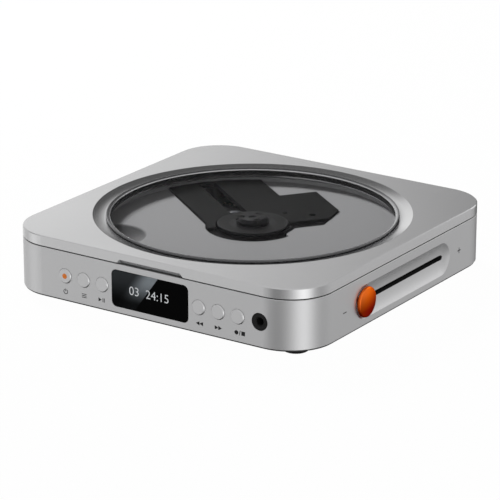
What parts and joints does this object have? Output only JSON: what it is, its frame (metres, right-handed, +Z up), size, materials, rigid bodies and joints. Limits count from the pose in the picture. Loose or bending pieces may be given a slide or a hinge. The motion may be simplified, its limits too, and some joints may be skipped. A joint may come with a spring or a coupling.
{
  "type": "wall mounted disc player",
  "caption": "Flat square disc player with a hinged lid, a round clear window over the disc, a front display with push buttons and a side volume slider.",
  "frame": {"origin": "middle of the square of wall-screw holes, on the underside of the base", "axes": "+Z up out of the lid, along the spindle; -Y towards the front with the display; +X towards the side with the volume slider"},
  "size_m": [0.1616, 0.1606, 0.0308],
  "materials": {
    "silver_case": "fine satin silver lacquer",
    "tray_grey": "light grey satin plastic",
    "dark_plastic": "dark grey moulded plastic",
    "black_plastic": "black fine-grained plastic",
    "button_silver": "satin silver lacquer",
    "display_black": "polished smoked acrylic",
    "clear_window": "clear polished acrylic",
    "black_rubber": "matt black",
    "knob_orange": "satin orange",
    "light_orange": "translucent orange light guide",
    "circuit_board": "green solder resist",
    "gear_white": "natural acetal",
    "steel": "ground steel",
    "motor_steel": "zinc-plated steel",
    "nickel": "nickel plating",
    "aluminium": "pressed sheet",
    "brass": "turned and knurled",
    "lens_glass": "coated lens"
  },
  "bodies": {
    "case": {"base_cover": "dark_plastic", "rubber_feet": "black_rubber", "base_screws": "steel", "wall_inserts": "brass", "body_shell": "silver_case", "disc_tray": "tray_grey", "tray_screws": "steel", "body_hinge_leaves": "steel", "hinge_pins": "steel", "hinge_screws": "steel", "tray_magnets": "nickel", "lid_bumpers": "black_rubber", "display_glass": "display_black", "display_module": "black_plastic", "control_board": "circuit_board", "button_switches": "black_plastic", "headphone_socket": "black_plastic", "volume_potentiometer": "aluminium", "main_board": "circuit_board", "board_chips": "black_plastic", "board_screws": "steel", "drive_cover": "black_plastic", "drive_chassis": "dark_plastic", "damper_grommets": "black_rubber", "drive_screws": "steel", "spindle_motor": "motor_steel", "guide_rails": "steel", "feed_motor": "motor_steel", "gear_pin": "steel", "power_socket": "nickel", "line_socket": "black_plastic"},
    "lid": {"lid_frame": "silver_case", "lid_window": "clear_window", "window_seal": "black_rubber", "lid_hinge_leaves": "steel", "lid_magnets": "nickel"},
    "power_key": {"power_button": "button_silver", "power_light": "light_orange"},
    "output_key": {"output_button": "button_silver"},
    "play_key": {"play_button": "button_silver"},
    "previous_key": {"previous_button": "button_silver"},
    "next_key": {"next_button": "button_silver"},
    "record_key": {"record_button": "button_silver"},
    "volume_slider": {"volume_knob": "knob_orange", "volume_carriage": "black_plastic"},
    "spindle": {"spindle_shaft": "steel", "turntable": "black_plastic", "turntable_pad": "black_rubber"},
    "claw_1": {"chuck_claw_1": "dark_plastic"},
    "claw_2": {"chuck_claw_2": "dark_plastic"},
    "claw_3": {"chuck_claw_3": "dark_plastic"},
    "pickup": {"pickup_sled": "dark_plastic"},
    "lens": {"lens_holder": "dark_plastic", "objective_lens": "lens_glass"},
    "idler": {"feed_gear": "gear_white"},
    "feed": {"feed_shaft": "steel", "feed_pinion": "brass"}
  },
  "joints": [
    {"name": "lid_hinge", "type": "hinge", "parent": "case", "child": "lid", "pos_m": [0, 0.0774, 0.0235], "axis": [-1, 0, 0], "range_deg": [0, 80]},
    {"name": "power_press", "type": "slide", "parent": "case", "child": "power_key", "axis": [0, 1, 0], "range_m": [0, 0.0004], "stiffness_N_per_m": 2500, "springref_m": -0.0004},
    {"name": "output_press", "type": "slide", "parent": "case", "child": "output_key", "axis": [0, 1, 0], "range_m": [0, 0.0004], "stiffness_N_per_m": 2500, "springref_m": -0.0004},
    {"name": "play_press", "type": "slide", "parent": "case", "child": "play_key", "axis": [0, 1, 0], "range_m": [0, 0.0004], "stiffness_N_per_m": 2500, "springref_m": -0.0004},
    {"name": "previous_press", "type": "slide", "parent": "case", "child": "previous_key", "axis": [0, 1, 0], "range_m": [0, 0.0004], "stiffness_N_per_m": 2500, "springref_m": -0.0004},
    {"name": "next_press", "type": "slide", "parent": "case", "child": "next_key", "axis": [0, 1, 0], "range_m": [0, 0.0004], "stiffness_N_per_m": 2500, "springref_m": -0.0004},
    {"name": "record_press", "type": "slide", "parent": "case", "child": "record_key", "axis": [0, 1, 0], "range_m": [0, 0.0004], "stiffness_N_per_m": 2500, "springref_m": -0.0004},
    {"name": "volume_slide", "type": "slide", "parent": "case", "child": "volume_slider", "axis": [0, 1, 0], "range_m": [0, 0.0648]},
    {"name": "turntable_spin", "type": "hinge", "parent": "case", "child": "spindle", "pos_m": [0, 0, 0.0231], "axis": [0, 0, 1], "continuous": true},
    {"name": "claw_slide_1", "type": "slide", "parent": "spindle", "child": "claw_1", "axis": [0, -1, 0], "range_m": [0, 0.0005], "stiffness_N_per_m": 400, "springref_m": -0.0005},
    {"name": "claw_slide_2", "type": "slide", "parent": "spindle", "child": "claw_2", "axis": [0.866, 0.5, 0], "range_m": [0, 0.0005], "stiffness_N_per_m": 400, "springref_m": -0.0005},
    {"name": "claw_slide_3", "type": "slide", "parent": "spindle", "child": "claw_3", "axis": [-0.866, 0.5, 0], "range_m": [0, 0.0005], "stiffness_N_per_m": 400, "springref_m": -0.0005},
    {"name": "pickup_slide", "type": "slide", "parent": "case", "child": "pickup", "axis": [-0.8028, 0.5962, 0], "range_m": [0, 0.033]},
    {"name": "lens_focus", "type": "slide", "parent": "pickup", "child": "lens", "axis": [0, 0, 1], "range_m": [-0.0003, 0.0003], "stiffness_N_per_m": 60, "springref_m": 0.00003},
    {"name": "idler_spin", "type": "hinge", "parent": "case", "child": "idler", "pos_m": [-0.01393, 0.04497, 0.0163], "axis": [0, 0, 1], "range_deg": [-301, 1]},
    {"name": "feed_spin", "type": "hinge", "parent": "case", "child": "feed", "pos_m": [-0.00194, 0.04464, 0.0139], "axis": [0, 0, 1], "range_deg": [-2, 902]}
  ],
  "couplings": [
    {"joint": "idler_spin", "follows": "pickup_slide", "rad_per_m": -158.73},
    {"joint": "feed_spin", "follows": "pickup_slide", "rad_per_m": 476.19}
  ]
}
